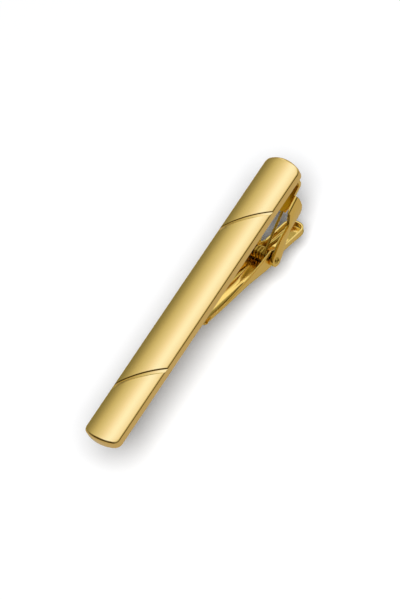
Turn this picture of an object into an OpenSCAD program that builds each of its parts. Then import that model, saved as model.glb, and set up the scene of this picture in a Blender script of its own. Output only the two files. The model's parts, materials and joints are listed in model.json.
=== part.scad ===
// Tie clip: a crowned bar with a sprung lever hinged behind it.
// Millimetres. X runs along the bar to the hinge end, Z up through the crowned front face, and the
// origin is the middle of the bar's flat back. The lever is drawn along its own axes with the pivot at
// their origin, then tilted into place.

/* [Front bar] */
// Length of the bar, end to end
bar_length = 60.4; // [56:0.2:64]
// Width of the bar
bar_width = 7.3; // [6.9:0.1:8]
// Height of the straight side walls
wall_height = 1.45; // [1.2:0.05:2]
// Rise of the crowned front face above the side walls
crown_rise = 0.9; // [0.7:0.05:1.2]
// How far each end bows out past its corners
end_bow = 0.8; // [0.5:0.05:1.2]
// Radius of the corners seen from the front
corner_r = 1.05; // [0.6:0.05:1.3]

/* [Diagonal grooves] */
// Place of the groove nearer the hinge, where it crosses the middle of the bar
groove_hinge_x = 16.9; // [14:0.1:20]
// Place of the groove nearer the free end
groove_free_x = -17; // [-20:0.1:-12]
// Angle between a groove and the length of the bar
groove_angle = 48; // [40:1:60]
// Depth of a groove at the crest of the crown
groove_depth = 0.14; // [0.1:0.01:0.25]
// Radius of the cut along the groove
groove_ring_r = 14.2; // [13.8:0.1:15]
// Radius of the round bottom of a groove
groove_tool_r = 0.46; // [0.3:0.02:0.6]

/* [Pivot] */
// Distance of the pivot from the middle of the bar
pivot_x = 16.65; // [16:0.05:17]
// Height of the pivot, below the back of the bar
pivot_z = -9.72; // [-10:0.02:-9.5]
// Tilt of the closed lever
lever_tilt = 22.5; // [22:0.1:23]
// Radius of the pivot pin
pin_r = 0.35; // [0.3:0.01:0.4]
// Radial play of the lever on the pin
pin_play = 0.05; // [0.02:0.01:0.08]
// Radius of the riveted heads
head_r = 0.62; // [0.55:0.01:0.8]
// Height of the riveted heads
head_h = 0.22; // [0.15:0.01:0.3]

/* [Hinge bracket] */
// Thickness of the bracket's sheet
sheet = 0.6; // [0.5:0.05:0.7]
// Half of the bracket's width over its arms
bracket_half = 2.85; // [2.8:0.01:3]
// Half of the width of the foot and riser
foot_half = 2.1; // [1.8:0.05:2.2]
// Radius of the round ear at the end of each arm
ear_r = 1.2; // [1.1:0.01:1.3]
// Height of the web's free edge, below the back of the bar
web_edge_z = -4.35; // [-4.5:0.05:-4.2]
// Slope of the web
web_slope = 12.7; // [11:0.1:14]

/* [Lever] */
// Half of the lever's width
lever_half = 2; // [1.95:0.01:2.02]
// Thickness of the lever's sheet
lever_sheet = 0.35; // [0.3:0.01:0.38]
// Length from the pivot to the back of the hooked tip
tip_reach = 19.63; // [19:0.05:20]
// Length from the pivot to the end of the thumb tab
tab_reach = 10.1; // [9.5:0.1:10.5]
// Gap between the closed tip and the back of the bar
tip_gap = 0.05; // [0.03:0.01:0.15]
// Radius of the thumb tab's corners
tab_corner_r = 1.7; // [1.2:0.1:1.9]

/* [Torsion spring] */
// Diameter of the spring wire
wire_d = 0.4; // [0.3:0.02:0.42]
// Mean radius of the coil
coil_r = 0.98; // [0.95:0.01:1]
// Distance from turn to turn
coil_pitch = 0.83; // [0.82:0.005:0.84]
// Slope of the leg that presses on the web
web_leg_slope = 23.4; // [23:0.1:24]

/* [Hidden] */
bright_gold = [0.85, 0.68, 0.32];
deep_gold = [0.72, 0.54, 0.18];

half_width = bar_width / 2;
bar_height = wall_height + crown_rise;
crown_r = (half_width * half_width + crown_rise * crown_rise) / (2 * crown_rise);
end_r = (half_width * half_width + end_bow * end_bow) / (2 * end_bow);
end_x = bar_length / 2 - end_r;
corner_y = half_width - corner_r;
corner_x = end_x + sqrt(pow(end_r - corner_r, 2) - corner_y * corner_y);

riser_in = bar_length / 2 - 1.5;
riser_out = riser_in + sheet;
foot_start = 24.2;
web_start = 23.5;
web_drop = sheet / cos(web_slope);
arm_end = 26.75;
arm_inner = bracket_half - sheet;
relief_y = 2.3;
relief_r = 0.28;
dimple_r = 0.26;

channel_half = lever_half - lever_sheet;
jaw_floor = -1.4;
tab_floor = -0.68;
tab_rim = 0.57;
hook_h = (-tip_gap - pivot_z - tip_reach * sin(lever_tilt)) / cos(lever_tilt);

// Unit vector along v
function unit(v) = v / norm(v);

// Points of the round that replaces corner b between a and c, with radius r
function rounded_corner(a, b, c, r, steps) =
    r == 0 ? [b] :
    let (
        u = unit(a - b),
        w = unit(c - b),
        half_angle = acos(u * w) / 2,
        mid = b + unit(u + w) * r / sin(half_angle),
        from = b + u * r / tan(half_angle) - mid,
        to = b + w * r / tan(half_angle) - mid,
        turn = acos(max(-1, min(1, unit(from) * unit(to)))),
        side = sign(from[0] * to[1] - from[1] * to[0])
    )
    [for (i = [0:steps])
        let (a = side * turn * i / steps)
        mid + [from[0] * cos(a) - from[1] * sin(a), from[0] * sin(a) + from[1] * cos(a)]];

// Outline through corners given as [x, y, radius]
function outline(corners, steps = 8) =
    let (n = len(corners))
    [for (i = [0:n - 1])
        let (
            p = corners[(i + n - 1) % n],
            q = corners[i],
            s = corners[(i + 1) % n]
        )
        each rounded_corner([p[0], p[1]], [q[0], q[1]], [s[0], s[1]], q[2], steps)];

// Plate standing in the XZ plane, centred on Y
module upright(width) {
    rotate([90, 0, 0])
        linear_extrude(width, center = true)
            children();
}

// Places its children in the lever's own axes: pivot at the origin, X to the thumb tab
module in_lever_axes() {
    translate([pivot_x, 0, pivot_z])
        rotate([0, lever_tilt, 0])
            children();
}

// Round bar across the object, through the pivot
module across_pivot(r, length) {
    rotate([90, 0, 0])
        cylinder(r = r, h = length, center = true, $fn = 48);
}

// Points along an arc
function arc(centre, r, from, to, steps) =
    [for (i = [0:steps])
        let (a = from + (to - from) * i / steps)
        centre + r * [cos(a), sin(a)]];

// Bowed end of the bar seen from the front, with its two round corners
end_half_angle = atan2(corner_y, corner_x - end_x);
bowed_end = concat(
    arc([corner_x, -corner_y], corner_r, -90, -end_half_angle, 6),
    arc([end_x, 0], end_r, -end_half_angle, end_half_angle, 24),
    arc([corner_x, corner_y], corner_r, end_half_angle, 90, 6)
);

module bar_plan() {
    polygon(concat(bowed_end, [for (p = bowed_end) -p]));
}

// Round ring that cuts a groove across the crown
module groove_cutter(x) {
    translate([x, 0, bar_height - groove_depth - groove_ring_r])
        rotate([0, 0, -groove_angle])
            rotate([90, 0, 0])
                rotate_extrude($fn = 240)
                    translate([groove_ring_r + groove_tool_r, 0])
                        circle(r = groove_tool_r, $fn = 32);
}

module front_bar() {
    color(bright_gold)
        difference() {
            intersection() {
                linear_extrude(bar_height + 1)
                    bar_plan();
                translate([0, 0, bar_height - crown_r])
                    rotate([0, 90, 0])
                        cylinder(r = crown_r, h = bar_length + 4, center = true, $fn = 180);
            }
            groove_cutter(groove_hinge_x);
            groove_cutter(groove_free_x);
        }
}

// Height of the web's upper face at x
function web_top(x) = web_edge_z + (x - web_start) * tan(web_slope);

// Foot on the bar, riser at the bar's end and web sloping back under the bar, seen from the side
module folded_strip() {
    upright(2 * foot_half)
        polygon(outline([
            [foot_start, 0, 0],
            [riser_out, 0, 0.9],
            [riser_out, web_top(riser_out) - web_drop, 0.9],
            [web_start, web_top(web_start) - web_drop, 0],
            [web_start, web_top(web_start), 0],
            [riser_in, web_top(riser_in), 0.35],
            [riser_in, -sheet, 0.35],
            [foot_start, -sheet, 0]
        ]));
}

// Web with the rounded folds that turn down into the arms
module web_folds() {
    fold_length = (arm_end - web_start) / cos(web_slope);
    fold_depth = 1.3;
    translate([web_start, 0, web_edge_z])
        rotate([0, 90 - web_slope, 0])
            linear_extrude(fold_length)
                difference() {
                    polygon(outline([
                        [0, -bracket_half, 0.7],
                        [fold_depth, -bracket_half, 0],
                        [fold_depth, bracket_half, 0],
                        [0, bracket_half, 0.7]
                    ]));
                    polygon(outline([
                        [sheet, -arm_inner, 0.2],
                        [fold_depth + 1, -arm_inner, 0],
                        [fold_depth + 1, arm_inner, 0],
                        [sheet, arm_inner, 0.2]
                    ]));
                }
}

// One arm seen from the side: deep at the web, narrow in the middle, a round ear at the pivot
module arm_plan() {
    polygon(outline([
        [web_start + 0.14, web_edge_z - 0.6, 0],
        [arm_end, web_top(arm_end) - 0.75, 0],
        [arm_end, -7.4, 1.7],
        [21.7, -7.85, 4],
        [18.2, -10.25, 1.6],
        [pivot_x + 0.4, pivot_z - ear_r + 0.1, 0],
        [pivot_x - 0.56, pivot_z + 1.06, 0],
        [19, -7.35, 3],
        [22.3, -6.8, 0.9],
        [23.25, -5.5, 0.8]
    ]));
    translate([pivot_x, pivot_z])
        circle(r = ear_r, $fn = 60);
}

module hinge_bracket() {
    color(deep_gold)
        difference() {
            union() {
                folded_strip();
                web_folds();
                for (side = [-1, 1])
                    translate([0, side * (bracket_half - sheet / 2), 0])
                        upright(sheet)
                            arm_plan();
            }
            translate([pivot_x, 0, pivot_z])
                across_pivot(pin_r + 0.01, 2 * bracket_half + 1);
            for (side = [-1, 1])
                translate([web_start + 0.05, side * relief_y, web_edge_z - 1])
                    cylinder(r = relief_r, h = 2, $fn = 32);
        }
}

// Pin with a domed, dimpled rivet head at each end
module hinge_pin() {
    color(bright_gold)
        translate([pivot_x, 0, pivot_z])
            rotate([90, 0, 0]) {
                cylinder(r = pin_r, h = 2 * bracket_half, center = true, $fn = 48);
                for (side = [0, 1])
                    mirror([0, 0, side])
                        translate([0, 0, bracket_half])
                            rivet_head();
            }
}

module rivet_head() {
    dome_r = (head_r * head_r + head_h * head_h) / (2 * head_h);
    difference() {
        intersection() {
            translate([0, 0, head_h - dome_r])
                sphere(r = dome_r, $fn = 60);
            cylinder(r = head_r + 0.1, h = head_h + 0.1, $fn = 48);
        }
        translate([0, 0, head_h + 0.14])
            sphere(r = dimple_r, $fn = 40);
    }
}

// Lever seen from the side, in its own axes: hooked end, jaw, ears and thumb tab
module lever_side() {
    polygon(outline([
        [-tip_reach, jaw_floor + 0.2, 0.9],
        [-2, jaw_floor, 2],
        [1.8, jaw_floor, 0.6],
        [3.2, tab_floor, 0.6],
        [tab_reach, tab_floor, 0.35],
        [tab_reach, tab_rim, 0.15],
        [2.7, tab_rim, 0.5],
        [1.9, 1.08, 0.4],
        [1.05, 1.2, 0.5],
        [0.3, 1.9, 0.8],
        [-0.9, 1.75, 0.8],
        [-2.3, 1.15, 1.5],
        [-4, 1, 3],
        [-12.5, -0.2, 12],
        [-16, -0.35, 6],
        [-tip_reach + 1.2, -0.15, 0.2],
        [-tip_reach + 0.4, 0.2, 0.3],
        [-tip_reach, 0.2, 0.1]
    ]));
}

// Hollow of the channel, seen from the side
module channel_side() {
    polygon(outline([
        [-tip_reach + lever_sheet, jaw_floor + 0.2 + lever_sheet, 0.55],
        [-2, jaw_floor + lever_sheet, 2],
        [1.8 - 0.1, jaw_floor + lever_sheet, 0.5],
        [3.2 - 0.1, tab_floor + lever_sheet, 0.5],
        [tab_reach - lever_sheet, tab_floor + lever_sheet, 0.1],
        [tab_reach - lever_sheet, 4, 0],
        [-tip_reach + lever_sheet, 4, 0]
    ]));
}

// Rounded ends of the lever seen from above, shrunk by inset
module lever_plan(inset) {
    half = lever_half - inset;
    polygon(outline([
        [-tip_reach + inset, -half, 0.7],
        [tab_reach - inset, -half, tab_corner_r - inset],
        [tab_reach - inset, half, tab_corner_r - inset],
        [-tip_reach + inset, half, 0.7]
    ]));
}

// Tip turned up from the floor to the bar, with a toothed edge
module hooked_tip() {
    tooth = 0.45;
    notches = 3;
    tip_half = lever_half - 0.45;
    difference() {
        translate([-tip_reach, -tip_half, jaw_floor + 1])
            cube([lever_sheet, 2 * tip_half, hook_h - jaw_floor - 1]);
        for (i = [0:notches - 1])
            translate([-tip_reach - 1, (i - (notches - 1) / 2) * tip_half * 0.6, hook_h])
                rotate([45, 0, 0])
                    translate([0, -tooth / 2, -tooth / 2])
                        cube([3, tooth, tooth]);
    }
}

module clip_lever() {
    color(deep_gold)
        in_lever_axes()
            difference() {
                union() {
                    intersection() {
                        difference() {
                            upright(2 * lever_half)
                                lever_side();
                            intersection() {
                                upright(2 * channel_half)
                                    channel_side();
                                translate([0, 0, -5])
                                    linear_extrude(12)
                                        lever_plan(lever_sheet);
                            }
                        }
                        translate([0, 0, -5])
                            linear_extrude(12)
                                lever_plan(0);
                    }
                    hooked_tip();
                }
                across_pivot(pin_r + pin_play, 2 * lever_half + 1);
            }
}

// The coil hangs loosely on the pin, clear of the lever's floor
coil_lift = 0.36;
coil_x = pivot_x + coil_lift * sin(lever_tilt);
coil_z = pivot_z + coil_lift * cos(lever_tilt);
coil_from = 90 + web_leg_slope;
coil_to = 270 - lever_tilt + 3 * 360;
loop_steps = 24;
coil_turns = (coil_to - coil_from) / 360;
coil_steps = round(coil_turns * loop_steps);
coil_half = coil_turns * coil_pitch / 2;

// Point on the coil's centre line at angle a and distance y across the clip
function on_coil(a, y) = [coil_x + coil_r * cos(a), y, coil_z + coil_r * sin(a)];

coil_points = [for (i = [0:coil_steps])
    let (t = i / coil_steps)
    on_coil(coil_from + t * (coil_to - coil_from), coil_half * (2 * t - 1))];

// Leg that lies under the web, from its end to the coil
web_leg_bend = coil_points[0] + 8.4 * [cos(web_leg_slope), 0, sin(web_leg_slope)];
web_leg_end = web_leg_bend + 1.6 * [cos(web_slope), 0, sin(web_slope)];

// A point given in the lever's axes, turned into the object's
function from_lever(x, y, h) = [
    pivot_x + x * cos(lever_tilt) + h * sin(lever_tilt),
    y,
    pivot_z - x * sin(lever_tilt) + h * cos(lever_tilt)
];

// Leg that lies on the tab's floor: along the well, up its step, then flat
tab_leg_h = tab_floor + lever_sheet + wire_d / 2 + 0.05;
tab_leg = [
    from_lever(1.5, coil_half, coil_lift - coil_r),
    from_lever(3, coil_half, tab_leg_h),
    from_lever(6.6, coil_half, tab_leg_h)
];

spring_path = concat(
    [web_leg_end, web_leg_bend],
    coil_points,
    tab_leg
);

// Direction of the path at point i
function path_way(path, i) =
    let (last = len(path) - 1)
    i == 0 ? unit(path[1] - path[0]) :
    i == last ? unit(path[last] - path[last - 1]) :
    unit(unit(path[i] - path[i - 1]) + unit(path[i + 1] - path[i]));

// Ring of six points round point i of the path
function wire_ring(path, i, r) =
    let (
        way = path_way(path, i),
        out = unit(cross([0, 1, 0], way)),
        side = cross(way, out)
    )
    [for (k = [0:5]) path[i] + r * (cos(60 * k) * out + sin(60 * k) * side)];

// Round wire along a path, as one closed mesh of triangles
module wire(path, d) {
    n = len(path);
    rings = [for (i = [0:n - 1]) each wire_ring(path, i, d / 2)];
    walls = [for (i = [0:n - 2], k = [0:5])
        let (a = 6 * i + k, b = 6 * i + (k + 1) % 6)
        each [[a, b, b + 6], [a, b + 6, a + 6]]];
    first_cap = [for (k = [1:4]) [0, k + 1, k]];
    last_cap = [for (k = [1:4]) [6 * (n - 1), 6 * (n - 1) + k, 6 * (n - 1) + k + 1]];
    polyhedron(points = rings, faces = concat(walls, first_cap, last_cap), convexity = 6);
}

// Least gap between parts of the wire at least half a loop apart
wire_gap = min([for (i = [0:len(spring_path) - 1], j = [i + loop_steps / 2:1:len(spring_path) - 1])
    norm(spring_path[i] - spring_path[j])]) - wire_d;
echo(least_wire_gap_mm = wire_gap, coil_turns = coil_turns);

module torsion_spring() {
    color(bright_gold)
        wire(spring_path, wire_d);
}

front_bar();
hinge_bracket();
hinge_pin();
torsion_spring();
clip_lever();
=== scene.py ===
# Tie clip, dressed for the camera: every piece is in metres, in the frame of the construction model.
import json
import math
import bpy
import bmesh
import numpy as np
from mathutils import Matrix, Vector


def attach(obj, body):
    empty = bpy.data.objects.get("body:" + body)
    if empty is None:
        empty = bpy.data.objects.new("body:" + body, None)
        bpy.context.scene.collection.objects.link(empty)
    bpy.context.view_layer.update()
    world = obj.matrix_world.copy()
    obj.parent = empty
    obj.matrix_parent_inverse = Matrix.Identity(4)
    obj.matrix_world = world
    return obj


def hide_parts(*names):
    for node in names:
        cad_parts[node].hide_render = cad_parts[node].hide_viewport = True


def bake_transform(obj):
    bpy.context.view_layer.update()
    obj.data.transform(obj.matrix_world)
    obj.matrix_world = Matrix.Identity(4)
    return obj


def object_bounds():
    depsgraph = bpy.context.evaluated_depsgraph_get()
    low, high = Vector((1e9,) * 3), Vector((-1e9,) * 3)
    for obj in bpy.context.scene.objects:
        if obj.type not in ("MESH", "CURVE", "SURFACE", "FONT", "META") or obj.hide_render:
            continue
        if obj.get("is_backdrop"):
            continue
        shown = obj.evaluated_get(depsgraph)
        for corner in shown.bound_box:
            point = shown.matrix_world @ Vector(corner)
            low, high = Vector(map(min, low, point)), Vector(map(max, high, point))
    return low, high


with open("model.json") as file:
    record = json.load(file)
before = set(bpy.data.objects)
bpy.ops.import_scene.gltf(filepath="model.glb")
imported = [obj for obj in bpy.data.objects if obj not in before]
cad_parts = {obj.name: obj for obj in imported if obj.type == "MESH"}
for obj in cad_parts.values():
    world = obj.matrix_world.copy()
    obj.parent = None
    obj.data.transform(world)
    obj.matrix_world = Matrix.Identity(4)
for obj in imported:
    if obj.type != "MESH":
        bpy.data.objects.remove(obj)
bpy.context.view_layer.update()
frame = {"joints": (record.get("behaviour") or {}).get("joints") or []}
mm = 0.001
pivot = frame["joints"][0]["pos_m"]
pivotX, pivotZ = pivot[0] / mm, pivot[2] / mm
leverTilt = math.radians(22.5)  # between the closed lever and the bar
scene = bpy.context.scene


def fromLever(x, y, h):  # a point in the lever's own axes, in mm, to the object's
    c, s = math.cos(leverTilt), math.sin(leverTilt)
    return (pivotX + x * c + h * s, y, pivotZ - x * s + h * c)


def softSteps(x, points, soft, samples=9):  # straight lines through points, corners rounded over +-soft
    px, py = zip(*points)
    offsets = np.linspace(-soft, soft, samples)
    return float(np.mean(np.interp(x + offsets, px, py)))


def addRow(points, row):  # adds a row of points and gives their numbers
    points.extend(row)
    return list(range(len(points) - len(row), len(points)))


def joinRows(rows):  # faces between each row of point numbers and the next
    return [(a[k], a[k + 1], c[k + 1], c[k]) for a, c in zip(rows, rows[1:]) for k in range(len(a) - 1)]


def shadeByAngle(bm, sharpAngle):
    for face in bm.faces:
        face.smooth = True
    for edge in bm.edges:
        if len(edge.link_faces) == 2:
            edge.smooth = edge.calc_face_angle(0) < math.radians(sharpAngle)


def meshPiece(name, points, faces, material, sharpAngle, merge):
    mesh = bpy.data.meshes.new(name)
    mesh.from_pydata([Vector(p) * mm for p in points], [], faces)
    bm = bmesh.new()
    bm.from_mesh(mesh)
    bmesh.ops.remove_doubles(bm, verts=bm.verts, dist=merge * mm)
    bmesh.ops.dissolve_degenerate(bm, edges=bm.edges, dist=merge * mm / 2)
    bmesh.ops.recalc_face_normals(bm, faces=bm.faces)
    shadeByAngle(bm, sharpAngle)
    bm.to_mesh(mesh)
    bm.free()
    mesh.materials.append(material)
    piece = bpy.data.objects.new(name, mesh)
    scene.collection.objects.link(piece)
    return piece


def applyModifiers(piece, name, sharpAngle):
    depsgraph = bpy.context.evaluated_depsgraph_get()
    mesh = bpy.data.meshes.new_from_object(piece.evaluated_get(depsgraph))
    done = bpy.data.objects.new(name, mesh)
    scene.collection.objects.link(done)
    bpy.data.objects.remove(piece)
    bm = bmesh.new()
    bm.from_mesh(mesh)
    shadeByAngle(bm, sharpAngle)
    bm.to_mesh(mesh)
    bm.free()
    return done


# Folded sheet: first its outer face, with no thickness yet, then the thickness behind it and cut edges
sheetFinish = {"faceAngle": 60, "merge": 0.004, "edgeSegments": 2, "edgeAngle": 55, "sharpAngle": 35}


def openSheet(name, points, faces, material, outerPoint):  # outerPoint lies off its outer side
    piece = meshPiece(name, points, faces, material, sheetFinish["faceAngle"], sheetFinish["merge"])
    target = Vector(outerPoint) * mm
    nearest = min(piece.data.polygons, key=lambda f: (f.center - target).length)
    if nearest.normal.dot(target - nearest.center) < 0:
        piece.data.flip_normals()
    return piece


def sheetFromFace(piece, name, thickness, edgeRound, cutMaterial):
    piece.data.materials.append(cutMaterial)
    wall = piece.modifiers.new("thickness", "SOLIDIFY")
    wall.thickness = thickness * mm
    wall.offset = -1
    wall.use_even_offset = True
    wall.material_offset_rim = 1
    edge = piece.modifiers.new("cutEdge", "BEVEL")
    edge.width = edgeRound * mm
    edge.segments = sheetFinish["edgeSegments"]
    edge.limit_method = "ANGLE"
    edge.angle_limit = math.radians(sheetFinish["edgeAngle"])
    edge.material = 1
    return applyModifiers(piece, name, sheetFinish["sharpAngle"])


def linkOrSet(links, socket, value):  # a value is a number, a colour or another node's output
    if isinstance(value, bpy.types.NodeSocket):
        links.new(value, socket)
    else:
        socket.default_value = value


def mathNode(nodes, links, operation, *values):
    node = nodes.new("ShaderNodeMath")
    node.operation = operation
    for socket, value in zip(node.inputs, values):
        linkOrSet(links, socket, value)
    return node.outputs[0]


def rangeNode(nodes, links, value, ends, kind="LINEAR"):  # the ends that aren't named stay at 0 and 1
    node = nodes.new("ShaderNodeMapRange")
    node.interpolation_type = kind
    for name, number in ends.items():
        node.inputs[name].default_value = number
    links.new(value, node.inputs["Value"])
    return node.outputs["Result"]


def softEdge(nodes, links, value, start, end):  # from 0 at the start to 1 at the end
    return rangeNode(nodes, links, value, {"From Min": start, "From Max": end}, "SMOOTHSTEP")


def mixTones(nodes, links, amount, first, second):
    mix = nodes.new("ShaderNodeMix")
    mix.data_type = "RGBA"
    linkOrSet(links, mix.inputs["Factor"], amount)
    linkOrSet(links, mix.inputs["A"], first)
    linkOrSet(links, mix.inputs["B"], second)
    return mix.outputs["Result"]


# Gold plate: polishing lines in the gloss and relief, slow patches in the colour, a thin clear lacquer
goldLook = {
    "lacquer": 0.25, "lacquerGloss": 0.08,
    "grainDetail": 3, "grainHeight": 0.004, "grainStrength": 0.35, "patchScale": 260, "patchDetail": 2,
}
goldFinish = {  # colour, least and most roughness, grain along x, y and z, strength of the patches
    "polishedGold": ((0.94, 0.71, 0.30), (0.17, 0.22), (14, 2600, 2600), 0.02),
    "sheetGold": ((0.93, 0.69, 0.21), (0.11, 0.19), (14, 2600, 2600), 0.04),
    "cutEdgeGold": ((0.94, 0.72, 0.25), (0.16, 0.26), (2200, 900, 300), 0.04),
    # pinGold and wireGold are a darker gold than the plate. The darker colour is painted shade on the
    # spring's coil where it sits between the lever's ears under the bar, and the pin has the same painted
    # darker gold
    "pinGold": ((0.66, 0.50, 0.12), (0.13, 0.22), (900, 900, 900), 0.03),
    "wireGold": ((0.66, 0.50, 0.12), (0.13, 0.22), (1200, 300, 1200), 0.03),
}


def goldMaterial(name):
    look = goldLook
    colour, roughness, grain, patches = goldFinish[name]
    material = bpy.data.materials.new(name)
    material.use_nodes = True
    nodes, links = material.node_tree.nodes, material.node_tree.links
    gold = nodes["Principled BSDF"]
    gold.inputs["Metallic"].default_value = 1
    gold.inputs["Coat Weight"].default_value = look["lacquer"]
    gold.inputs["Coat Roughness"].default_value = look["lacquerGloss"]
    place = nodes.new("ShaderNodeTexCoord")

    stretch = nodes.new("ShaderNodeMapping")
    stretch.inputs["Scale"].default_value = grain
    lines = nodes.new("ShaderNodeTexNoise")
    lines.inputs["Scale"].default_value = 1
    lines.inputs["Detail"].default_value = look["grainDetail"]
    links.new(place.outputs["Object"], stretch.inputs["Vector"])
    links.new(stretch.outputs["Vector"], lines.inputs["Vector"])

    slow = nodes.new("ShaderNodeTexNoise")
    slow.inputs["Scale"].default_value = look["patchScale"]
    slow.inputs["Detail"].default_value = look["patchDetail"]
    links.new(place.outputs["Object"], slow.inputs["Vector"])
    darker = (*[c * (1 - patches) for c in colour], 1)
    lighter = (*[min(1, c * (1 + patches / 2)) for c in colour], 1)
    links.new(mixTones(nodes, links, slow.outputs["Fac"], darker, lighter), gold.inputs["Base Color"])

    least, most = roughness
    shine = rangeNode(nodes, links, lines.outputs["Fac"], {"To Min": least, "To Max": most})
    links.new(shine, gold.inputs["Roughness"])

    relief = nodes.new("ShaderNodeBump")
    relief.inputs["Strength"].default_value = look["grainStrength"]
    relief.inputs["Distance"].default_value = look["grainHeight"] * mm
    links.new(lines.outputs["Fac"], relief.inputs["Height"])
    links.new(relief.outputs["Normal"], gold.inputs["Normal"])
    return material


goldBar, goldSheet, goldEdge, goldPin, goldWire = [goldMaterial(name) for name in goldFinish]
print("materials made")


# Front bar: a crowned face with rounded rim, bowed ends and two diagonal cut grooves
barSize = {
    "length": 60.4, "width": 7.3, "wallHeight": 1.45, "crownRise": 0.9, "endBow": 0.9,
    "cornerRadius": 1.35, "edgeRound": 0.55, "backRound": 0.12, "sharpAngle": 24, "merge": 0.0005,
    "columnStep": 0.5, "cornerSteps": 8, "endSteps": 36, "edgeSteps": 6, "backSteps": 4,
}
grooveSize = {
    "places": (-16.97, 16.87), "angle": 47.8, "depth": (0.19, 0.15), "ringRadius": (14.2, 14.2),
    "halfWidth": (0.44, 0.36), "thinnest": 0.25,  # part of its width that is left where it runs out
    # across a groove, steep on the hinge side: part of its half width, and part of its depth
    "profile": ((-1, 0), (-0.6, 0.5), (-0.2, 0.66), (0.2, 0.83), (0.58, 1), (1, 0)),
    "columns": (-0.9, -0.8, -0.7, -0.6, -0.5, -0.2, 0.05, 0.3, 0.48, 0.58, 0.68, 0.79, 0.9),
    "followFull": 0.6, "followFade": 1.4,  # how far from a groove the columns lean with it over the rim
}


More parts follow.
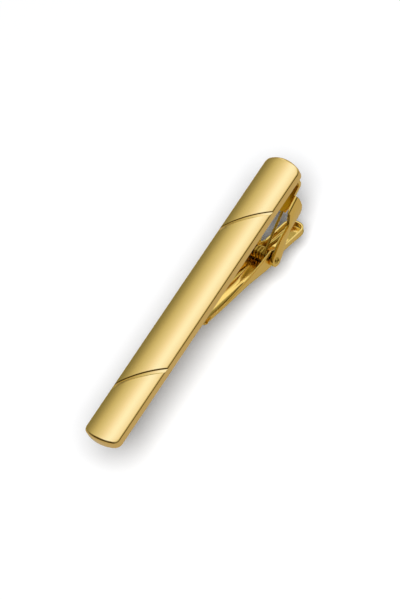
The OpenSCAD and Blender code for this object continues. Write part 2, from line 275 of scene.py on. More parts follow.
def makeBar():
    b, g = barSize, grooveSize
    half, rise, rho = b["width"] / 2, b["crownRise"], b["edgeRound"]
    top = b["wallHeight"] + rise
    crownR = (half * half + rise * rise) / (2 * rise)
    endR = (half * half + b["endBow"] ** 2) / (2 * b["endBow"])
    endX = b["length"] / 2 - endR
    cornerR = b["cornerRadius"]
    cornerY = half - cornerR
    cornerX = endX + math.sqrt((endR - cornerR) ** 2 - cornerY ** 2)
    endAngle = math.atan2(cornerY, cornerX - endX)
    lean, across = 1 / math.tan(math.radians(g["angle"])), math.sin(math.radians(g["angle"]))

    def crown(y):
        return top - crownR + math.sqrt(crownR * crownR - y * y)

    def edgeSlope(y, ny):
        return math.atan(abs(ny * y) / math.sqrt(crownR * crownR - y * y))

    def grooveDepth(y, k):
        s, ring = y / across, g["ringRadius"][k]
        return max(0, crown(y) - (top - g["depth"][k] - ring + math.sqrt(ring * ring - s * s)))

    def grooveHalf(y, k):
        part = math.sqrt(grooveDepth(y, k) / g["depth"][k])
        return g["halfWidth"][k] * min(1, g["thinnest"] + (1 - g["thinnest"]) * part)

    def grooveShape(f):
        return float(np.interp(f, *zip(*g["profile"])))

    def grooveDip(x, y):  # how deep a groove is under the crown there
        return max(grooveDepth(y, k) * grooveShape((x - place + lean * y) * across / grooveHalf(y, k))
                   for k, place in enumerate(g["places"]))

    def followGroove(x, y, dy):  # the columns beside a groove keep to it as they go over the rim
        away = min(abs(x - place + lean * y) for place in g["places"])
        return x - lean * dy * max(0, 1 - max(0, away - g["followFull"]) / g["followFade"])

    arcs = (((cornerX, -cornerY), cornerR, -math.pi / 2, -endAngle, b["cornerSteps"]),
            ((endX, 0), endR, -endAngle, endAngle, b["endSteps"]),
            ((cornerX, cornerY), cornerR, endAngle, math.pi / 2, b["cornerSteps"]))
    outline = []  # (x, y, normal x, normal y) round the hinge end, from -Y to +Y
    for centre, r, a0, a1, n in arcs:
        for i in range(n + 1):
            a = a0 + (a1 - a0) * i / n
            if i or not outline:
                outline.append((centre[0] + r * math.cos(a), centre[1] + r * math.sin(a),
                                math.cos(a), math.sin(a)))

    wholeStops = (-b["length"] / 2, *g["places"], b["length"] / 2)
    counts = [round((end - start) / b["columnStep"]) for start, end in zip(wholeStops, wholeStops[1:])]

    def rowAcross(y, xEnd):  # one row of the crowned face, from end to end
        row = []
        middles = [place - lean * y for place in g["places"]]
        halves = [grooveHalf(y, k) / across for k in range(len(middles))]
        stops = [-xEnd]
        for middle, halfLong in zip(middles, halves):
            stops += [middle - halfLong, middle + halfLong]
        stops.append(xEnd)
        for k, count in enumerate(counts):
            row += [(x, y, crown(y)) for x in np.linspace(stops[2 * k], stops[2 * k + 1], count + 1)]
            if k < len(middles):
                row += [(middles[k] + f * halves[k], y, crown(y) - grooveDepth(y, k) * grooveShape(f))
                        for f in g["columns"]]
        return row

    points, grid = [], []
    for x, y, nx, ny in outline:
        inset = rho * (1 - math.sin(edgeSlope(y, ny)))
        grid.append(addRow(points, rowAcross(y - inset * ny, x - inset * nx)))
    faces = joinRows(grid)

    loop = []  # the crowned face's rim: each point's number, and the outline's point and normal there
    for row, (x, y, nx, ny) in zip(grid, outline):
        loop.append((row[-1], (x, y), (nx, ny)))
    for v in reversed(grid[-1][1:-1]):
        loop.append((v, (points[v][0], half), (0, 1)))
    for row, (x, y, nx, ny) in reversed(list(zip(grid, outline))):
        loop.append((row[0], (-x, y), (-nx, ny)))
    for v in grid[0][1:-1]:
        loop.append((v, (points[v][0], -half), (0, -1)))
    rings = [[v for v, p, n in loop]]

    def addRing(place):
        ring = []
        for v, p, n in loop:
            inset, z = place(p, n)
            x, y = p[0] - inset * n[0], p[1] - inset * n[1]
            if abs(n[1]) == 1:
                x = followGroove(points[v][0], points[v][1], y - points[v][1])
            ring.append((x, y, min(z, crown(y) - grooveDip(x, y))))
        rings.append(addRow(points, ring))

    def roundedTop(part):
        def place(p, n):
            slope = edgeSlope(p[1], n[1])
            y0 = p[1] - rho * (1 - math.sin(slope)) * n[1]
            a = slope + (math.pi / 2 - slope) * part
            return rho * (1 - math.sin(a)), crown(y0) + rho * (math.cos(a) - math.cos(slope))
        return place

    def roundedBack(part):
        a = math.pi / 2 * part
        return lambda p, n: (b["backRound"] * (1 - math.cos(a)), b["backRound"] * (1 - math.sin(a)))

    for i in range(1, b["edgeSteps"] + 1):
        addRing(roundedTop(i / b["edgeSteps"]))
    for i in range(b["backSteps"] + 1):
        addRing(roundedBack(i / b["backSteps"]))
    closed = [ring + ring[:1] for ring in rings]
    for a, c in zip(closed, closed[1:]):
        faces += [(a[k], c[k], c[k + 1], a[k + 1]) for k in range(len(loop))]
    faces.append(tuple(rings[-1]))
    return meshPiece("frontBar", points, faces, goldBar, b["sharpAngle"], b["merge"])


bar = makeBar()
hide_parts("front_bar")
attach(bar, "clip_frame")
print("front bar:", len(bar.data.polygons), "faces")


# Clip lever: a folded channel with a toothed hook at one end, two ears at the pivot and a thumb tab
leverSize = {
    "half": 2.0, "sheet": 0.35, "edgeRound": 0.07, "wallSteps": 5, "bendSteps": 7, "floorSteps": 10,
    "outerPoint": (-8, 0, -3),  # under the channel, on its outer side
    # lines along the lever: heights of floor and rim, extra half width, height and width of the bend
    "floor": ((-19.7, -1.75), (-15, -1.85), (-7, -1.75), (-2, -1.55), (1.7, -1.45), (3.1, -0.66),
              (6, -0.66), (8.6, -0.78), (10.2, -0.68)),
    "rim": ((-19.7, -1.2), (-18.9, -0.8), (-18.2, -0.5), (-15.7, -0.57), (-13.2, -0.43), (-10.8, -0.1),
            (-8.4, 0.22), (-6, 0.65), (-3.6, 1.03), (-2.6, 1.2), (-1.3, 1.55), (-0.5, 1.8), (0.1, 1.85),
            (0.6, 1.6), (1.04, 1.2), (1.96, 1.02), (2.5, 0.66), (3, 0.58), (6, 0.58), (9, 0.68),
            (10.2, 0.7)),
    "flare": ((-19.7, 0.2), (-7, 0.15), (-2.6, 0), (10.2, 0)),
    "bend": ((-20, 1.1), (-15, 1.2), (-7, 1.4), (-4, 0.9), (-2, 0.5), (10.2, 0.5)),
    "spread": ((-20, 1.8), (-7, 1.9), (-4, 0.9), (-2, 0.5), (10.2, 0.5)),
    "soft": {"floor": 0.35, "rim": 0.22, "flare": 0.5, "bend": 0.5, "spread": 0.5},
    "channelSteps": 119, "leastFloor": 0.1,
    "tipReach": 19.63, "tipHalf": 1.6, "tipBend": 0.85, "tipBendSteps": 8,
    "tipBlend": 0.7, "tipBlendSteps": 5,  # over this length the channel then reaches its full section
    "tipWidening": 0.7, "tipWall": 0.75,  # parts of its widening and wall that it has at the hook's bend
    "tipWallBend": 0.4, "hookGap": 0.05, "hookShort": 0.02, "hookSteps": 15,
    "teeth": 5, "toothDepth": 0.3, "toothReach": 0.7,
    "tabStart": 4.2, "tabReach": 10.1, "tabEndLength": 1.95, "tabSquareness": 2.35,
    "tabSideSteps": 21, "tabEndSteps": 48,
}


def leverLine(name, x):
    return softSteps(x, leverSize[name], leverSize["soft"][name])


def leverWall(x):
    return leverLine("rim", x) - leverLine("floor", x)


def wallProfile(height, radius, spread=0):  # (inset from the side, height above the floor), rim to floor
    wallSteps, bendSteps = leverSize["wallSteps"], leverSize["bendSteps"]
    radius = max(0.0, min(radius, height))
    spread = max(spread, radius) if radius else 0
    steps = [(0, radius + (height - radius) * (1 - i / wallSteps)) for i in range(wallSteps)]
    for i in range(bendSteps + 1):
        a = math.pi / 2 * i / bendSteps
        steps.append((spread * (1 - math.cos(a)), radius * (1 - math.sin(a))))
    return steps


def leverSection(half, height, radius, spread):  # (y, height above the floor), rim to rim
    floorSteps = leverSize["floorSteps"]
    side = wallProfile(height, radius, min(spread, half - leverSize["leastFloor"]))
    left = [(-half + inset, up) for inset, up in side]
    flat = half - side[-1][0]
    across = [(-flat + 2 * flat * i / floorSteps, 0) for i in range(1, floorSteps)]
    return left + across + [(-y, up) for y, up in reversed(left)]


def toothDrop(y, below):  # how far the hook's edge is cut back between its teeth
    s = leverSize
    wave = abs((y / s["tipHalf"] * s["teeth"] / 2) % 1 - 0.5) * 2
    return s["toothDepth"] * wave * max(0, 1 - below / s["toothReach"])


def leverStations():  # (x, h, up x, up h, half width, wall height, bend) from the hooked tip to the tab
    s = leverSize
    bend = s["tipBend"]
    hookTop = (-s["hookGap"] - pivotZ - s["tipReach"] * math.sin(leverTilt)) / math.cos(leverTilt)
    low = leverLine("floor", -s["tipReach"])
    widening = s["half"] + s["flare"][0][1] - s["tipHalf"]
    stations = []
    for h in np.linspace(hookTop - s["hookShort"], low + bend, s["hookSteps"] + 1)[:-1]:
        stations.append((-s["tipReach"], h, 1, 0, s["tipHalf"], 0, 0))
    for a in np.linspace(0, math.pi / 2, s["tipBendSteps"] + 1):
        x = -s["tipReach"] + bend * (1 - math.cos(a))
        h = low + bend * (1 - math.sin(a))
        half = s["tipHalf"] + widening * math.sin(a) ** 2 * s["tipWidening"]
        wall = max(0.0, leverLine("rim", x) - low) * math.sin(a) ** 3
        stations.append((x, h, math.cos(a), math.sin(a), half, wall * s["tipWall"], s["tipWallBend"]))
    start = bend - s["tipReach"]
    for f in np.linspace(0, 1, s["tipBlendSteps"] + 1)[1:]:
        x = start + s["tipBlend"] * f
        half = s["tipHalf"] + widening * (s["tipWidening"] + (1 - s["tipWidening"]) * f)
        wall = leverWall(x) * (s["tipWall"] + (1 - s["tipWall"]) * f)
        stations.append((x, leverLine("floor", x), 0, 1, half, wall, leverLine("bend", x)))
    for x in np.linspace(start + s["tipBlend"], s["tabStart"], s["channelSteps"] + 1)[1:]:
        half = s["half"] + leverLine("flare", x)
        stations.append((x, leverLine("floor", x), 0, 1, half, leverWall(x), leverLine("bend", x)))
    return stations


def tabOutline():  # (x, y, normal x, normal y) from one side round the tab's end to the other
    s = leverSize
    start = s["tabReach"] - s["tabEndLength"]
    power = 2 / s["tabSquareness"]
    places = np.linspace(s["tabStart"], start, s["tabSideSteps"] + 1)[:-1]
    side = [(x, -s["half"], 0, -1) for x in places]
    end = []
    for a in np.linspace(-math.pi / 2, math.pi / 2, s["tabEndSteps"] + 1):
        c, w = abs(math.cos(a)), math.sin(a)
        x = start + s["tabEndLength"] * c ** power
        y = s["half"] * math.copysign(abs(w) ** power, w)
        nx = c ** (2 - power) / s["tabEndLength"]
        ny = math.copysign(abs(w) ** (2 - power), w) / s["half"]
        size = math.hypot(nx, ny)
        end.append((x, y, nx / size, ny / size))
    return side + end + [(x, -y, nx, -ny) for x, y, nx, ny in reversed(side)]


def leverFace():
    points, rows, strips, fill = [], [], [], []
    stations = leverStations()
    hookTop = stations[0][1]
    for x, h, upX, upH, half, wall, bend in stations:
        row = []
        for y, up in leverSection(half, wall, bend, leverLine("spread", x) * upH):
            drop = toothDrop(y, hookTop - h) if upX == 1 else 0
            row.append(fromLever(x + upX * up, y, h + upH * up - drop))
        rows.append(addRow(points, row))

    for x, y, nx, ny in tabOutline():  # the tab's wall
        strip = []
        for inset, up in wallProfile(leverWall(x), leverLine("bend", x)):
            px = x - inset * nx
            strip.append(fromLever(px, y - inset * ny, leverLine("floor", px) + up))
        strips.append(addRow(points, strip))

    floorSteps = leverSize["floorSteps"]
    for k in range((len(strips) + 1) // 2):  # the tab's floor, from side to side
        left, right = [Vector(points[strip[-1]]) for strip in (strips[k], strips[-1 - k])]
        row = [tuple(left.lerp(right, i / floorSteps)) for i in range(floorSteps + 1)]
        fill.append(addRow(points, row))
    return points, joinRows(rows) + joinRows(strips) + joinRows(fill)


lever = openSheet("leverFace", *leverFace(), goldSheet, fromLever(*leverSize["outerPoint"]))
lever = sheetFromFace(lever, "clipLever", leverSize["sheet"], leverSize["edgeRound"], goldEdge)
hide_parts("clip_lever")
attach(lever, "lever")
print("clip lever:", len(lever.data.polygons), "faces")


# Hinge bracket: foot, riser and web folded from one strip, and an arm folded down on each side of the web
bracketSize = {
    "half": 2.85, "sheet": 0.6, "edgeRound": 0.07, "footStart": 24.2, "riserX": 28.7, "innerBend": 0.35,
    "outerPoint": (25.2, 0, -3),  # between the web and the bar
    "webStart": 23.5, "webEdgeZ": -4.35, "webSlope": 12.7, "webRows": 12, "flatHalf": 2.15,
    "columns": (0, 0.45, 0.9, 1.35, 1.8, 1.93, 2.0, 2.07),  # from the web's middle, then flatHalf
    "foldRadius": 0.7, "foldSteps": 8, "notchX": 0.8, "notchHalf": 0.4, "notchOut": 0.1,
    "notchDeep": 0.5, "notchFade": 1.2,
    "armEnd": 26.75, "armUpper": ((23.25, -5.5, 0.8), (22.3, -6.8, 0.9), (19, -7.35, 3)),
    "armLower": ((18.2, -10.25, 1.6), (21.7, -7.85, 4), (26.8, -7.4, 1.7)),
    "earRadius": 1.2, "earArc": (118, 290), "earPoints": 26, "cornerSteps": 7,
}


def webTop(x):
    s = bracketSize
    return s["webEdgeZ"] + (x - s["webStart"]) * math.tan(math.radians(s["webSlope"]))


def roundedLine(corners):  # (x, z, radius) corners to points, with each corner an arc; the ends stay
    steps = bracketSize["cornerSteps"]
    points = [Vector(corners[0][:2])]
    for before, here, after in zip(corners, corners[1:], corners[2:]):
        a, b, c = Vector(before[:2]), Vector(here[:2]), Vector(after[:2])
        radius = here[2]
        if radius == 0:
            points.append(b)
            continue
        u, w = (a - b).normalized(), (c - b).normalized()
        half = math.acos(max(-1, min(1, u.dot(w)))) / 2
        middle = b + (u + w).normalized() * radius / math.sin(half)
        start, end = [b + way * radius / math.tan(half) - middle for way in (u, w)]
        turn = start.angle_signed(end)
        for i in range(steps + 1):
            a = -turn * i / steps
            points.append(middle + Vector((start.x * math.cos(a) - start.y * math.sin(a),
                                           start.x * math.sin(a) + start.y * math.cos(a))))
    points.append(Vector(corners[-1][:2]))
    return points


def bracketFace():
    s = bracketSize
    points, slope = [], math.radians(s["webSlope"])
    path = roundedLine([
        (s["footStart"], -s["sheet"], 0),
        (s["riserX"], -s["sheet"], s["innerBend"]),
        (s["riserX"], webTop(s["riserX"]), s["innerBend"]),
        (s["armEnd"], webTop(s["armEnd"]), 0),
    ])
    for i in range(1, s["webRows"] + 1):
        x = s["armEnd"] + (s["webStart"] - s["armEnd"]) * i / s["webRows"]
        path.append(Vector((x, webTop(x))))
    right = [*s["columns"], s["flatHalf"]]
    across = [-y for y in reversed(right[1:])] + right
    faces = joinRows([addRow(points, [(p.x, y, p.y) for y in across]) for p in path])

    ear = [(pivotX + s["earRadius"] * math.cos(a), pivotZ + s["earRadius"] * math.sin(a), 0)
           for a in np.linspace(*map(math.radians, s["earArc"]), s["earPoints"])]
    for side in (-1, 1):
        folds = []
        for p in path[-(s["webRows"] + 1):]:
            fold = []
            for i in range(s["foldSteps"] + 1):
                a = math.pi / 2 * i / s["foldSteps"]
                out, down = s["foldRadius"] * math.sin(a), s["foldRadius"] * (1 - math.cos(a))
                fold.append((p.x + down * math.sin(slope), side * (s["flatHalf"] + out),
                             p.y - down * math.cos(slope)))
            folds.append(addRow(points, fold))
        faces += joinRows(folds)
        top = [points[fold[-1]] for fold in folds]  # from the riser's side to the web's free edge
        arm = roundedLine([(top[-1][0], top[-1][2], 0), *s["armUpper"], *ear, *s["armLower"],
                           (top[0][0], top[0][2], 0)])
        faces.append(tuple(addRow(points, [(p.x, side * s["half"], p.y) for p in arm[:-1]] + top[:-1])))
    return [cutNotch(*p) for p in points], faces


def cutNotch(x, y, z):  # relief cuts in the web's free edge, where the arms fold down
    s = bracketSize
    slope = math.radians(s["webSlope"])
    off = abs(abs(y) - s["flatHalf"] - s["notchOut"]) / s["notchHalf"]
    onWeb = abs(z - webTop(x)) < s["notchDeep"]
    fade = max(0, 1 - max(0, x - s["webStart"]) / s["notchFade"]) if onWeb else 0
    reach = s["notchX"] * fade * math.sqrt(max(0, 1 - off * off))
    return (x + reach * math.cos(slope), y, z + reach * math.sin(slope))


bracket = openSheet("bracketFace", *bracketFace(), goldSheet, bracketSize["outerPoint"])
bracket = sheetFromFace(
    bracket, "hingeBracket", bracketSize["sheet"], bracketSize["edgeRound"], goldEdge)
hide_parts("hinge_bracket")
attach(bracket, "clip_frame")
print("hinge bracket:", len(bracket.data.polygons), "faces")


# Torsion spring: one wire from under the web, round the pin, and out along the thumb tab's floor
springSize = {
    "wire": 0.5, "coilRadius": 0.98, "coilLift": 0.37, "turns": 3, "pointsPerTurn": 40,
    "nearY": -0.65, "farY": 1.5, "webY": -0.9, "webLegSlope": 23.4, "webLeg": 8.4, "webTip": 1.6,
    "tabLeg": ((1.5, 1.3, -0.61), (3.0, 1.1, -0.08), (4.2, 0.9, -0.08), (6.8, 0.85, -0.08)),
    "bend": 0.6, "bendSteps": 5, "step": 0.12, "sides": 16, "sharpAngle": 35,
}


def springPath():
    s = springSize
    start, end = 90 + s["webLegSlope"], 270 - math.degrees(leverTilt) + 360 * s["turns"]
    count = round((end - start) / 360 * s["pointsPerTurn"])
    centre = Vector(fromLever(0, 0, s["coilLift"]))
    coil = []
    for i in range(count + 1):
        t = i / count
        a = math.radians(start + t * (end - start))
        y = s["nearY"] + t * (s["farY"] - s["nearY"])
        coil.append(Vector((centre.x + s["coilRadius"] * math.cos(a), y,
                            centre.z + s["coilRadius"] * math.sin(a))))
    leg, web = math.radians(s["webLegSlope"]), math.radians(bracketSize["webSlope"])
    bend = coil[0] + s["webLeg"] * Vector((math.cos(leg), 0, math.sin(leg)))
    bend.y = s["webY"]
    tip = bend + s["webTip"] * Vector((math.cos(web), 0, math.sin(web)))
    return [tip, bend] + coil + [Vector(fromLever(*p)) for p in s["tabLeg"]]


# A tree that rounds a path's corners and draws wire along it, and the identifiers of its inputs
def woundWire():
    tree = bpy.data.node_groups.new("woundWire", "GeometryNodeTree")
    sockets = {}
    for label, kind in (("Geometry", "Geometry"), ("Wire radius", "Float"), ("Bend radius", "Float"),
                        ("Step", "Float"), ("Sides", "Int"), ("Material", "Material")):
        socket = tree.interface.new_socket(label, in_out="INPUT", socket_type="NodeSocket" + kind)
        sockets[label] = socket.identifier
    tree.interface.new_socket("Geometry", in_out="OUTPUT", socket_type="NodeSocketGeometry")
    nodes, links = tree.nodes, tree.links
    source, out = nodes.new("NodeGroupInput"), nodes.new("NodeGroupOutput")
    fillet = nodes.new("GeometryNodeFilletCurve")
    fillet.mode = "POLY"
    fillet.inputs["Count"].default_value = springSize["bendSteps"]
    fillet.inputs["Limit Radius"].default_value = True
    even = nodes.new("GeometryNodeResampleCurve")
    even.mode = "LENGTH"
    ring = nodes.new("GeometryNodeCurvePrimitiveCircle")
    sweep = nodes.new("GeometryNodeCurveToMesh")
    sweep.inputs["Fill Caps"].default_value = True
    realize = nodes.new("GeometryNodeRealizeInstances")
    finish = nodes.new("GeometryNodeSetMaterial")
    for before, output, after, entry in (
            (source, "Geometry", fillet, "Curve"), (source, "Bend radius", fillet, "Radius"),
            (fillet, "Curve", even, "Curve"), (source, "Step", even, "Length"),
            (source, "Wire radius", ring, "Radius"), (source, "Sides", ring, "Resolution"),
            (even, "Curve", sweep, "Curve"), (ring, "Curve", sweep, "Profile Curve"),
            (sweep, "Mesh", realize, "Geometry"), (realize, "Geometry", finish, "Geometry"),
            (source, "Material", finish, "Material"), (finish, "Geometry", out, "Geometry")):
        links.new(before.outputs[output], after.inputs[entry])
    return tree, sockets


def makeSpring():
    path = springPath()
    curve = bpy.data.curves.new("springPath", "CURVE")
    curve.dimensions = "3D"
    spline = curve.splines.new("POLY")
    spline.points.add(len(path) - 1)
    for point, p in zip(spline.points, path):
        point.co = (*(p * mm), 1)
    piece = bpy.data.objects.new("springPath", curve)
    scene.collection.objects.link(piece)
    tree, sockets = woundWire()
    modifier = piece.modifiers.new("torsionSpring", "NODES")
    modifier.node_group = tree
    values = {"Wire radius": springSize["wire"] / 2 * mm, "Bend radius": springSize["bend"] * mm,
              "Step": springSize["step"] * mm, "Sides": springSize["sides"], "Material": goldWire}
    for label, value in values.items():
        modifier[sockets[label]] = value
    return applyModifiers(piece, "torsionSpring", springSize["sharpAngle"])


spring = makeSpring()
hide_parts("torsion_spring")
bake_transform(spring)
print("torsion spring:", len(spring.data.polygons), "faces")


# Riveted pin: a shank with a domed head at each end, hollow in its middle
pinSize = {
    "radius": 0.35, "sides": 40, "sharpAngle": 50, "merge": 0.001,
    "headRadius": 0.61, "headHeight": 0.22, "headSteps": 8, "headFoot": 0.02,
    "underCut": 0.04, "underHead": 0.05, "lip": 0.06, "lipDrop": 0.01,
    "hollowRadius": 0.34, "hollowDepth": 0.5, "hollowSteps": 7, "hollowEnd": 1e-6,
}


def pinProfile():  # (radius, distance from the middle) from the shank out over a head to its hollow
    p, half = pinSize, bracketSize["half"]
    lip = p["hollowRadius"] + p["lip"]
    profile = [(p["radius"], 0), (p["radius"], half - p["underHead"]),
               (p["headRadius"] - p["underCut"], half)]
    for i in range(p["headSteps"] + 1):
        a = math.pi / 2 * i / p["headSteps"]
        profile.append((lip + (p["headRadius"] - lip) * math.cos(a),
                        half + p["headFoot"] + (p["headHeight"] - p["headFoot"]) * math.sin(a)))
    for i in range(1, p["hollowSteps"] + 1):
        a = math.pi / 2 * i / p["hollowSteps"]
        profile.append((p["hollowRadius"] * math.cos(a),
                        half + p["headHeight"] - p["lipDrop"] - p["hollowDepth"] * math.sin(a)))
    return profile


def makePin():
    points, faces, sides = [], [], pinSize["sides"]
    for side in (-1, 1):
        rings = []
        for r, far in pinProfile():
            count = sides if r > pinSize["hollowEnd"] else 1
            turns = [2 * math.pi * k / sides for k in range(count)]
            ring = [(pivotX + r * math.cos(a), side * far, pivotZ + r * math.sin(a)) for a in turns]
            rings.append(addRow(points, ring))
        faces += joinRows([ring + ring[:1] for ring in rings[:-1]])
        rim, (deepest,) = rings[-2:]  # the hollow ends in one point
        faces += [(rim[k], rim[(k + 1) % sides], deepest) for k in range(sides)]
    return meshPiece("hingePin", points, faces, goldPin, pinSize["sharpAngle"], pinSize["merge"])


pin = makePin()
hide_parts("hinge_pin")
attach(pin, "clip_frame")
print("hinge pin:", len(pin.data.polygons), "faces")


# Camera: the photograph's view, 54 degrees above the crowned face, rolled so the bar rises to the right
cameraView = {
    "turn": -29.19, "tip": 35.96, "roll": -31.74,  # from straight above: about Z, over, then in the picture
    "right": 0.7247, "up": 0.5246, "back": 661.18,  # its place, along its own axes
    "lens": 231.2, "sensor": 36, "clip": (0.01, 20),
}


def turned(degrees, axis):
    return Matrix.Rotation(math.radians(degrees), 3, axis)


viewTurn = turned(cameraView["turn"], "Z") @ turned(cameraView["tip"], "X") @ turned(cameraView["roll"], "Z")
viewRight, viewUp, viewBack = viewTurn.transposed()


def makeCamera():
    v = cameraView
    lens = bpy.data.cameras.new("photoView")
    lens.lens, lens.sensor_width = v["lens"], v["sensor"]
    lens.clip_start, lens.clip_end = v["clip"]
    camera = bpy.data.objects.new("photoView", lens)
    place = viewRight * v["right"] + viewUp * v["up"] + viewBack * v["back"]
    camera.matrix_world = Matrix.LocRotScale(place * mm, viewTurn, None)
    scene.collection.objects.link(camera)
    scene.camera = camera


# Floor, world and lamp: they light the ground and its shadow, and the background is white
stageLook = {
    "floorSize": 6.0, "floorDrop": 7, "floorTone": (0.95, 0.955, 0.965), "floorLift": 0.015,
    "worldFill": 0.03,
    "keyPower": 318, "keySize": 2.1, "keyFar": 5.0, "keyAside": -0.03, "keyAbove": 0.065,
}


def onBackground(nodes, links):  # 1 where the ray comes from the camera, a mirror or glass
    ray = nodes.new("ShaderNodeLightPath").outputs
    seen = mathNode(nodes, links, "MAXIMUM", ray["Is Camera Ray"], ray["Is Glossy Ray"])
    return mathNode(nodes, links, "MAXIMUM", seen, ray["Is Transmission Ray"])


def flatMesh(name, middle, along, across):  # four corners, from the middle and half of each side
    mesh = bpy.data.meshes.new(name)
    corners = [middle + along * i + across * j for i, j in ((-1, -1), (1, -1), (1, 1), (-1, 1))]
    mesh.from_pydata(corners, [], [(0, 1, 2, 3)])
    return mesh


def makeFloor():
    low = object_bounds()[0].z - stageLook["floorDrop"] * mm
    half = stageLook["floorSize"] / 2
    mesh = flatMesh("paleFloor", Vector((0, 0, low)), Vector((half, 0, 0)), Vector((0, half, 0)))
    floor = bpy.data.objects.new("paleFloor", mesh)
    scene.collection.objects.link(floor)
    material = bpy.data.materials.new("paleFloor")
    material.use_nodes = True
    nodes, links = material.node_tree.nodes, material.node_tree.links
    nodes.remove(nodes["Principled BSDF"])
    paper = nodes.new("ShaderNodeBsdfDiffuse")
    paper.inputs["Color"].default_value = (*stageLook["floorTone"], 1)
    glow = nodes.new("ShaderNodeEmission")
    lift = mathNode(nodes, links, "MULTIPLY", onBackground(nodes, links), stageLook["floorLift"])
    links.new(lift, glow.inputs["Strength"])
    both = nodes.new("ShaderNodeAddShader")
    links.new(paper.outputs[0], both.inputs[0])
    links.new(glow.outputs[0], both.inputs[1])
    below = nodes.new("ShaderNodeNewGeometry")  # clear when seen from below
    clear = nodes.new("ShaderNodeBsdfTransparent")
    pick = nodes.new("ShaderNodeMixShader")
    links.new(below.outputs["Backfacing"], pick.inputs[0])
    links.new(both.outputs[0], pick.inputs[1])
    links.new(clear.outputs[0], pick.inputs[2])
    links.new(pick.outputs[0], nodes["Material Output"].inputs["Surface"])
    mesh.materials.append(material)
    floor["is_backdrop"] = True


def makeWorld():  # white for the camera and the mirrors, very dim for the floor
    world = bpy.data.worlds.new("softStudio")
    scene.world = world
    world.use_nodes = True
    nodes, links = world.node_tree.nodes, world.node_tree.links
    background = nodes["Background"]
    background.inputs["Color"].default_value = (1, 1, 1, 1)
    level = rangeNode(nodes, links, onBackground(nodes, links), {"To Min": stageLook["worldFill"]})
    links.new(level, background.inputs["Strength"])


def makeKey():
    s = stageLook
    place = (viewBack + viewRight * s["keyAside"] + viewUp * s["keyAbove"]) * s["keyFar"]
    lamp = bpy.data.lights.new("softBox", "AREA")
    lamp.shape = "DISK"
    lamp.size = s["keySize"]
    lamp.energy = s["keyPower"]
    key = bpy.data.objects.new("softBox", lamp)
    key.location = place
    key.rotation_mode = "QUATERNION"
    key.rotation_quaternion = place.to_track_quat("Z", "Y")
    key.visible_glossy = False  # the tent, panels and card give the reflections
    scene.collection.objects.link(key)


# What polished gold mirrors in a studio, seen by reflections only: a tent, two panels and a card
tentLook = {
    "radius": 3.0, "lowest": -0.2, "segments": (64, 32), "strength": 1.6,
    # degrees from straight up, seen along the bar, and tone: a bright roof fades to warm dim walls
    "roof": ((0, (1.1, 1.25, 1.6)), (9, (1.06, 1.13, 1.33)), (15, (1.02, 1.0, 1.07)),
             (24, (0.88, 0.86, 0.79)), (32, (0.78, 0.76, 0.63)), (47, (0.63, 0.6, 0.4)),
             (62, (0.4, 0.37, 0.22)), (77, (0.25, 0.24, 0.13)), (90, (0.19, 0.18, 0.11))),
    # dark drapes past the bar's free end and in front of it: axis, where it begins and is full, in radii
    "drapes": ((("X", -0.2, -0.38), ("Z", 0.95, 0.8)),
               (("Y", -0.3, -0.6), ("Z", 0.6, 0.42), ("X", 0.85, 0.7))),
    "drapeTone": (0.045, 0.032, 0.006),
}
panelLook = {
    "far": 100, "tone": (1.15, 1.1, 1.0),
    # the place on the lever that mirrors its middle, how far aside it is, half length and half width
    "panels": {"jawPanel": (-11, -9, 9, 14), "tabPanel": (5.5, 0, 7, 14)},
}
cardLook = {
    "below": 0.04, "radius": 2.97, "segments": 64,
    "openTone": (0.53, 0.45, 0.31), "shadeTone": (0.35, 0.31, 0.07),
    "shadeEdge": (1.8, 2.6), "shadeEnd": 27.4,  # in front of the bar's middle line, out from its middle
}


def showToMirrors(name, mesh, material):
    mesh.materials.append(material)
    piece = bpy.data.objects.new(name, mesh)
    scene.collection.objects.link(piece)
    piece.visible_camera = False
    piece.visible_diffuse = False
    piece.visible_shadow = False
    piece.visible_transmission = False
    piece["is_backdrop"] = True


def glowMaterial(name):
    material = bpy.data.materials.new(name)
    material.use_nodes = True
    material.cycles.emission_sampling = "NONE"
    nodes, links = material.node_tree.nodes, material.node_tree.links
    nodes.remove(nodes["Principled BSDF"])
    glow = nodes.new("ShaderNodeEmission")
    links.new(glow.outputs[0], nodes["Material Output"].inputs["Surface"])
    return material, nodes, links, glow


def splitPlace(nodes, links):  # the place on the piece, split into X, Y and Z
    place = nodes.new("ShaderNodeTexCoord")
    split = nodes.new("ShaderNodeSeparateXYZ")
    links.new(place.outputs["Object"], split.inputs["Vector"])
    return split.outputs


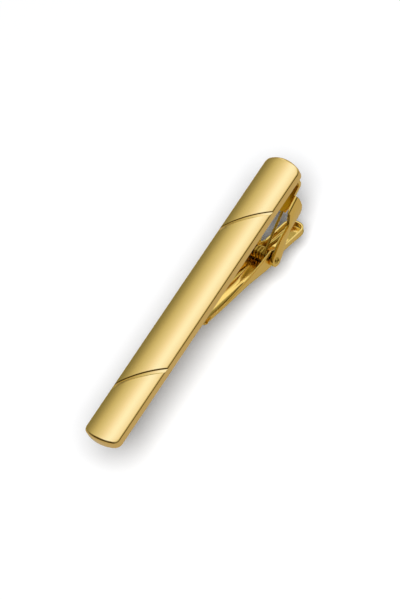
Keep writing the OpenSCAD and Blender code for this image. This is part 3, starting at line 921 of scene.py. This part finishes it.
def makeTent():
    t = tentLook
    bm = bmesh.new()
    around, high = t["segments"]
    bmesh.ops.create_uvsphere(bm, u_segments=around, v_segments=high, radius=t["radius"])
    below = [v for v in bm.verts if v.co.z < t["lowest"] * t["radius"]]
    bmesh.ops.delete(bm, geom=below, context="VERTS")
    mesh = bpy.data.meshes.new("lightTent")
    bm.to_mesh(mesh)
    bm.free()
    material, nodes, links, glow = glowMaterial("lightTent")
    glow.inputs["Strength"].default_value = t["strength"]
    place = splitPlace(nodes, links)
    section = nodes.new("ShaderNodeCombineXYZ")
    unit = nodes.new("ShaderNodeVectorMath")
    unit.operation = "NORMALIZE"
    height = nodes.new("ShaderNodeSeparateXYZ")
    links.new(place["Y"], section.inputs["Y"])
    links.new(place["Z"], section.inputs["Z"])
    links.new(section.outputs["Vector"], unit.inputs[0])
    links.new(unit.outputs["Vector"], height.inputs["Vector"])
    angle = mathNode(nodes, links, "ARCCOSINE", height.outputs["Z"])
    part = rangeNode(nodes, links, angle, {"From Max": math.pi / 2})
    roof = nodes.new("ShaderNodeValToRGB")
    for i, (degrees, tone) in enumerate(t["roof"]):
        stop = roof.color_ramp.elements[i] if i < 2 else roof.color_ramp.elements.new(degrees / 90)
        stop.position = degrees / 90
        stop.color = (*[c / t["strength"] for c in tone], 1)
    links.new(part, roof.inputs["Fac"])

    drapes = []
    for limits in t["drapes"]:
        edges = [softEdge(nodes, links, place[axis], start * t["radius"], full * t["radius"])
                 for axis, start, full in limits]
        covered = edges[0]
        for edge in edges[1:]:
            covered = mathNode(nodes, links, "MULTIPLY", covered, edge)
        drapes.append(covered)
    dark = mathNode(nodes, links, "MAXIMUM", *drapes)
    shade = mixTones(nodes, links, dark, roof.outputs["Color"], (*t["drapeTone"], 1))
    links.new(shade, glow.inputs["Color"])
    showToMirrors("lightTent", mesh, material)


def makePanels():  # small and bright, off the hinge end: they light the hollow of the jaw and the tab
    p = panelLook
    floorUp = Vector((math.sin(leverTilt), 0, math.cos(leverTilt)))
    way = floorUp * 2 * viewBack.dot(floorUp) - viewBack
    across = (floorUp * viewBack.y + Vector((0, viewBack.dot(floorUp), 0))).normalized()
    along = way.cross(across).normalized()
    material, nodes, links, glow = glowMaterial("brightPanel")
    glow.inputs["Color"].default_value = (*p["tone"], 1)
    for name, (place, aside, halfAlong, halfAcross) in p["panels"].items():
        onFloor = Vector(fromLever(place, 0, leverLine("floor", place)))
        middle = onFloor + way * p["far"] + across * aside
        mesh = flatMesh(name, middle * mm, along * halfAlong * mm, across * halfAcross * mm)
        showToMirrors(name, mesh, material)


def makeCard():  # just under the piece and warm, darker and yellower in its shade: its walls mirror it
    c = cardLook
    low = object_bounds()[0].z - c["below"] * mm
    bm = bmesh.new()
    bmesh.ops.create_circle(bm, cap_ends=True, segments=c["segments"], radius=c["radius"])
    bmesh.ops.translate(bm, verts=bm.verts, vec=(0, 0, low))
    mesh = bpy.data.meshes.new("greyCard")
    bm.to_mesh(mesh)
    bm.free()
    material, nodes, links, glow = glowMaterial("greyCard")
    place = splitPlace(nodes, links)
    pastEnd = mathNode(nodes, links, "SUBTRACT",
                       mathNode(nodes, links, "ABSOLUTE", place["X"]), c["shadeEnd"] * mm)
    inFront = mathNode(nodes, links, "MULTIPLY", place["Y"], -1)
    outside = mathNode(nodes, links, "MAXIMUM", pastEnd, inFront)
    lit = softEdge(nodes, links, outside, *[v * mm for v in c["shadeEdge"]])
    tone = mixTones(nodes, links, lit, (*c["shadeTone"], 1), (*c["openTone"], 1))
    links.new(tone, glow.inputs["Color"])
    showToMirrors("greyCard", mesh, material)


makeFloor()
makeWorld()
makeKey()
makeTent()
makePanels()
makeCard()
makeCamera()
scene.view_settings.view_transform = "Standard"
print("stage and camera made")
